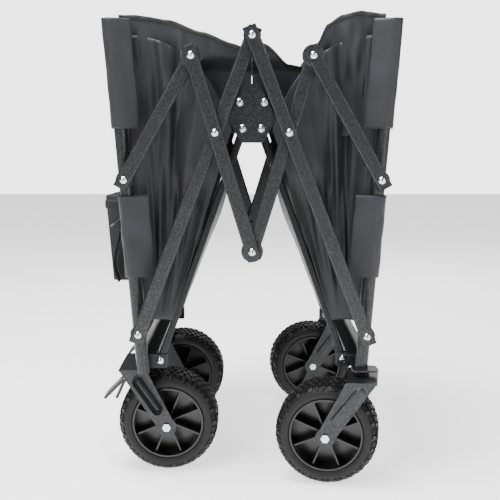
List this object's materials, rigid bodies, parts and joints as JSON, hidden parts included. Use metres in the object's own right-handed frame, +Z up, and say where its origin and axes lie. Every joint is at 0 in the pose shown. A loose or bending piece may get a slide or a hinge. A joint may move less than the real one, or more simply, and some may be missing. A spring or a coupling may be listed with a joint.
{
  "type": "folding camp wagon",
  "caption": "Folding camp wagon with a flat-folding side scissor, fabric tub, swivel casters, brake pedals and a stowed pull handle, shown nearly folded.",
  "frame": {"origin": "on the ground under the centre of the overall box", "axes": "+X towards the swivel-caster end, +Y across the wagon, +Z up"},
  "size_m": [0.519, 0.5951, 0.784],
  "materials": {
    "hammertone_steel": "hammertone powder coat, semi-gloss",
    "zinc_steel": "bright zinc plate",
    "black_plastic": "fine moulded grain",
    "tyre_rubber": "matt moulded tread",
    "grip_rubber": "soft matt",
    "oxford_cloth": "coated oxford weave, slight sheen"
  },
  "bodies": {
    "rear_frame": {"rear_posts": "hammertone_steel", "rear_post_plastics": "black_plastic", "rear_channel": "hammertone_steel", "rear_floor_brackets": "hammertone_steel", "rear_forks": "hammertone_steel", "rear_axles": "zinc_steel", "rear_rivets": "zinc_steel", "rear_sleeves": "oxford_cloth", "rear_panel": "oxford_cloth", "rear_side_cloth": "oxford_cloth", "rear_pocket": "oxford_cloth"},
    "front_frame": {"front_posts": "hammertone_steel", "front_post_plastics": "black_plastic", "front_channel": "hammertone_steel", "front_brackets": "hammertone_steel", "front_rivets": "zinc_steel", "kingpins": "zinc_steel", "handle_ears": "hammertone_steel", "front_sleeves": "oxford_cloth", "front_panel": "oxford_cloth", "front_side_cloth": "oxford_cloth"},
    "long_rear": {"long_bars_rear": "hammertone_steel", "scissor_rivets_rear": "zinc_steel"},
    "long_front": {"long_bars_front": "hammertone_steel", "scissor_rivets_front": "zinc_steel", "scissor_spacer_top": "black_plastic"},
    "cross_rear": {"cross_bars_rear": "hammertone_steel", "cross_bar_studs": "zinc_steel"},
    "cross_front": {"cross_bars_front": "hammertone_steel"},
    "corner_rear": {"corner_links_rear": "hammertone_steel"},
    "corner_front": {"corner_links_front": "hammertone_steel", "corner_link_studs": "zinc_steel"},
    "floor_rear": {"floor_bars_rear": "hammertone_steel", "rear_floor_cloth": "oxford_cloth"},
    "floor_front": {"floor_bars_front": "hammertone_steel", "front_floor_cloth": "oxford_cloth"},
    "hub": {"hub_plates": "hammertone_steel", "hub_bolts": "zinc_steel"},
    "tub_rear": {"rear_middle_cloth": "oxford_cloth"},
    "tub_front": {"front_middle_cloth": "oxford_cloth"},
    "handle": {"handle_outer_tube": "hammertone_steel", "handle_collar": "black_plastic"},
    "handle_upper": {"handle_inner_tube": "hammertone_steel", "handle_grip": "grip_rubber"},
    "handle_button": {"handle_button": "black_plastic"},
    "rear_wheel_near": {"tyre_rear_near": "tyre_rubber", "rim_rear_near": "black_plastic"},
    "caster_near": {"caster_fork_near": "hammertone_steel", "caster_axle_near": "zinc_steel"},
    "caster_wheel_near": {"tyre_front_near": "tyre_rubber", "rim_front_near": "black_plastic"},
    "brake_near": {"brake_pedal_near": "black_plastic"},
    "rear_wheel_far": {"tyre_rear_far": "tyre_rubber", "rim_rear_far": "black_plastic"},
    "caster_far": {"caster_fork_far": "hammertone_steel", "caster_axle_far": "zinc_steel"},
    "caster_wheel_far": {"tyre_front_far": "tyre_rubber", "rim_front_far": "black_plastic"},
    "brake_far": {"brake_pedal_far": "black_plastic"}
  },
  "joints": [
    {"name": "fold", "type": "hinge", "parent": "rear_frame", "child": "long_rear", "pos_m": [-0.18282, 0, 0.262], "axis": [0, 1, 0], "range_deg": [-4, 36.9]},
    {"name": "long_front_pivot", "type": "hinge", "parent": "long_rear", "child": "long_front", "pos_m": [0.0105, 0, 0.75871], "axis": [0, 1, 0], "range_deg": [-80.93, 8.95]},
    {"name": "front_frame_pivot", "type": "hinge", "parent": "long_front", "child": "front_frame", "pos_m": [0.20382, 0, 0.262], "axis": [0, 1, 0], "range_deg": [-4.2, 37.1]},
    {"name": "cross_rear_pivot", "type": "hinge", "parent": "long_rear", "child": "cross_rear", "pos_m": [-0.05043, 0, 0.60215], "axis": [0, 1, 0], "range_deg": [-69.22, 7.68]},
    {"name": "cross_front_pivot", "type": "hinge", "parent": "long_front", "child": "cross_front", "pos_m": [0.07143, 0, 0.60215], "axis": [0, 1, 0], "range_deg": [-7.68, 69.22]},
    {"name": "corner_rear_pivot", "type": "hinge", "parent": "rear_frame", "child": "corner_rear", "pos_m": [-0.20283, 0, 0.52424], "axis": [0, 1, 0], "range_deg": [-6.37, 57.07]},
    {"name": "corner_front_pivot", "type": "hinge", "parent": "front_frame", "child": "corner_front", "pos_m": [0.22383, 0, 0.52424], "axis": [0, 1, 0], "range_deg": [-57.07, 6.37]},
    {"name": "floor_rear_pivot", "type": "hinge", "parent": "rear_frame", "child": "floor_rear", "pos_m": [-0.1505, 0, 0.206], "axis": [0, 1, 0], "range_deg": [-6.57, 58.94]},
    {"name": "floor_front_pivot", "type": "hinge", "parent": "front_frame", "child": "floor_front", "pos_m": [0.1715, 0, 0.206], "axis": [0, 1, 0], "range_deg": [-58.94, 6.57]},
    {"name": "hub_pivot", "type": "hinge", "parent": "floor_rear", "child": "hub", "pos_m": [-0.0055, 0, 0.609], "axis": [0, 1, 0], "range_deg": [-62.41, 6.94]},
    {"name": "tub_rear_travel", "type": "slide", "parent": "rear_frame", "child": "tub_rear", "axis": [0.9952, 0, 0.0983], "range_m": [-0.02806, 0.25063]},
    {"name": "tub_front_travel", "type": "slide", "parent": "front_frame", "child": "tub_front", "axis": [-0.9952, 0, 0.0983], "range_m": [-0.02806, 0.25063]},
    {"name": "rear_wheel_spin_near", "type": "hinge", "parent": "rear_frame", "child": "rear_wheel_near", "pos_m": [-0.1395, -0.166, 0.089], "axis": [0, 1, 0], "continuous": true},
    {"name": "caster_swivel_near", "type": "hinge", "parent": "front_frame", "child": "caster_near", "pos_m": [0.2015, -0.243, 0.19], "axis": [0, 0, 1], "continuous": true},
    {"name": "caster_wheel_spin_near", "type": "hinge", "parent": "caster_near", "child": "caster_wheel_near", "pos_m": [0.14224, -0.23361, 0.089], "axis": [0.1564, 0.9877, 0], "continuous": true},
    {"name": "brake_near", "type": "hinge", "parent": "rear_frame", "child": "brake_near", "pos_m": [-0.2155, -0.166, 0.168], "axis": [0, 1, 0], "range_deg": [-8, 0]},
    {"name": "rear_wheel_spin_far", "type": "hinge", "parent": "rear_frame", "child": "rear_wheel_far", "pos_m": [-0.1395, 0.166, 0.089], "axis": [0, 1, 0], "continuous": true},
    {"name": "caster_swivel_far", "type": "hinge", "parent": "front_frame", "child": "caster_far", "pos_m": [0.2015, 0.243, 0.19], "axis": [0, 0, 1], "continuous": true},
    {"name": "caster_wheel_spin_far", "type": "hinge", "parent": "caster_far", "child": "caster_wheel_far", "pos_m": [0.14165, 0.23881, 0.089], "axis": [-0.0698, 0.9976, 0], "continuous": true},
    {"name": "brake_far", "type": "hinge", "parent": "rear_frame", "child": "brake_far", "pos_m": [-0.2155, 0.166, 0.168], "axis": [0, 1, 0], "range_deg": [-8, 0]},
    {"name": "handle_fold", "type": "hinge", "parent": "front_frame", "child": "handle", "pos_m": [0.22032, 0, 0.262], "axis": [0, 1, 0], "range_deg": [0, 110]},
    {"name": "handle_slide", "type": "slide", "parent": "handle", "child": "handle_upper", "axis": [0.0761, 0, 0.9971], "range_m": [0, 0.25]},
    {"name": "handle_button_press", "type": "slide", "parent": "handle_upper", "child": "handle_button", "axis": [0.0761, 0, 0.9971], "range_m": [-0.0035, 0], "stiffness_N_per_m": 300}
  ],
  "couplings": [
    {"joint": "long_front_pivot", "follows": "fold", "ratio": -2.1879},
    {"joint": "front_frame_pivot", "follows": "fold", "ratio": 1},
    {"joint": "cross_rear_pivot", "follows": "fold", "ratio": -1.8705},
    {"joint": "cross_front_pivot", "follows": "fold", "ratio": 1.8705},
    {"joint": "corner_rear_pivot", "follows": "fold", "ratio": 1.5413},
    {"joint": "corner_front_pivot", "follows": "fold", "ratio": -1.5413},
    {"joint": "floor_rear_pivot", "follows": "fold", "ratio": 1.592},
    {"joint": "floor_front_pivot", "follows": "fold", "ratio": -1.592},
    {"joint": "hub_pivot", "follows": "fold", "ratio": -1.686},
    {"joint": "tub_rear_travel", "follows": "fold", "m_per_rad": 0.38762},
    {"joint": "tub_front_travel", "follows": "fold", "m_per_rad": 0.38762}
  ]
}
